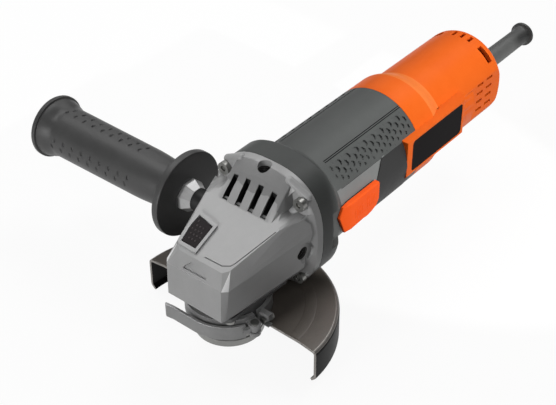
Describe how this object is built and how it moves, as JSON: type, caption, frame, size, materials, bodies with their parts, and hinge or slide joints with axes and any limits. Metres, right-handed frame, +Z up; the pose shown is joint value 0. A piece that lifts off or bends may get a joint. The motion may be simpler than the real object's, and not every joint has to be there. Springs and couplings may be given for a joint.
{
  "type": "angle grinder",
  "caption": "Corded small angle grinder with a die-cast gear case, slide switch, screw-in side handle, swivelling disc guard and a working bevel drive.",
  "frame": {"origin": "on the spindle axis, at the face that a disc is clamped against", "axes": "+X towards the cord end along the motor, +Y towards the side handle, +Z up along the spindle, away from the disc"},
  "size_m": [0.3459, 0.2288, 0.1021],
  "materials": {
    "cast_alloy": "silver-grey lacquer on a die-casting, satin",
    "zinc_steel": "zinc plated, satin",
    "dark_cast": "dark grey lacquer on a die-casting, satin",
    "grey_steel": "grey phosphate, satin",
    "bearing_steel": "ground, bright",
    "gear_steel": "hardened, oiled",
    "blackened_steel": "black lacquer, satin",
    "dark_plastic": "glass-filled nylon, fine grain",
    "orange_plastic": "glass-filled nylon, satin",
    "black_plastic": "plain, matt",
    "soft_grip": "soft moulded grip, matt",
    "handle_plastic": "moulded grip, satin",
    "sleeve_rubber": "PVC, satin",
    "seal_rubber": "nitrile",
    "copper": "enamelled copper",
    "brass_part": "plain",
    "lamination": "stacked sheet",
    "carbon": "carbon brush block",
    "plate_film": "bare plate, no lettering"
  },
  "bodies": {
    "housing": {"gear_case": "cast_alloy", "gear_case_screws": "zinc_steel", "bearing_cap": "dark_cast", "bearing_cap_screws": "zinc_steel", "dust_seal": "seal_rubber", "spindle_bearing_lower": "bearing_steel", "spindle_bearing_upper": "brass_part", "lock_spring": "zinc_steel", "armature_bearing_front": "bearing_steel", "armature_bearing_rear": "bearing_steel", "bearing_retainer": "zinc_steel", "fan_baffle": "black_plastic", "motor_housing": "dark_plastic", "field_core": "lamination", "field_windings": "copper", "brush_holders": "brass_part", "brush_spring_upper": "zinc_steel", "brush_spring_lower": "zinc_steel", "side_grip_right": "soft_grip", "side_grip_left": "soft_grip", "rear_housing": "orange_plastic", "rear_cap": "orange_plastic", "rear_cap_screws": "zinc_steel", "label_plate": "plate_film", "electric_switch": "black_plastic", "cable_clamp": "black_plastic", "cable_clamp_screws": "zinc_steel", "strain_relief": "sleeve_rubber"},
    "spindle": {"spindle": "gear_steel", "crown_gear": "gear_steel", "gear_circlip": "zinc_steel", "inner_flange": "gear_steel", "clamp_nut": "zinc_steel"},
    "armature": {"armature_shaft": "bearing_steel", "armature_core": "lamination", "armature_windings": "copper", "commutator": "copper", "pinion": "gear_steel", "pinion_nut": "zinc_steel", "cooling_fan": "black_plastic"},
    "lock": {"lock_button": "black_plastic", "lock_pin": "zinc_steel"},
    "switch": {"slide_switch": "orange_plastic", "switch_rod": "black_plastic"},
    "guard": {"guard": "blackened_steel", "guard_collar": "grey_steel", "collar_screw": "zinc_steel", "lever_pin": "zinc_steel"},
    "lever": {"guard_lever": "grey_steel"},
    "handle": {"side_handle": "handle_plastic", "handle_boss": "zinc_steel", "handle_stud": "zinc_steel"},
    "brush_upper": {"brush_upper": "carbon"},
    "brush_lower": {"brush_lower": "carbon"}
  },
  "joints": [
    {"name": "armature_spin", "type": "hinge", "parent": "housing", "child": "armature", "pos_m": [0.03, 0, 0.0496], "axis": [1, 0, 0], "continuous": true},
    {"name": "spindle_spin", "type": "hinge", "parent": "housing", "child": "spindle", "pos_m": [0, 0, 0.0172], "axis": [0, 0, 1], "continuous": true},
    {"name": "lock_press", "type": "slide", "parent": "housing", "child": "lock", "axis": [0, 0, -1], "range_m": [0, 0.0033], "stiffness_N_per_m": 400, "springref_m": -0.002, "deforming": ["lock_spring"]},
    {"name": "switch_slide", "type": "slide", "parent": "housing", "child": "switch", "axis": [-1, 0, 0], "range_m": [0, 0.005]},
    {"name": "guard_swivel", "type": "hinge", "parent": "housing", "child": "guard", "pos_m": [0, 0, 0.0145], "axis": [0, 0, 1], "range_deg": [-90, 60]},
    {"name": "lever_swing", "type": "hinge", "parent": "guard", "child": "lever", "pos_m": [-0.00944, -0.02742, 0.0135], "axis": [0, 0, 1], "range_deg": [0, 70]},
    {"name": "handle_turn", "type": "hinge", "parent": "housing", "child": "handle", "pos_m": [0.025, 0.06, 0.0478], "axis": [0, 1, 0], "range_deg": [-360, 0]},
    {"name": "brush_upper_lift", "type": "slide", "parent": "housing", "child": "brush_upper", "axis": [0, 0, 1], "range_m": [0, 0.002], "stiffness_N_per_m": 300, "springref_m": -0.006, "deforming": ["brush_spring_upper"]},
    {"name": "brush_lower_lift", "type": "slide", "parent": "housing", "child": "brush_lower", "axis": [0, 0, -1], "range_m": [0, 0.002], "stiffness_N_per_m": 300, "springref_m": -0.006, "deforming": ["brush_spring_lower"]}
  ],
  "couplings": [
    {"joint": "spindle_spin", "follows": "armature_spin", "ratio": 0.27027}
  ]
}
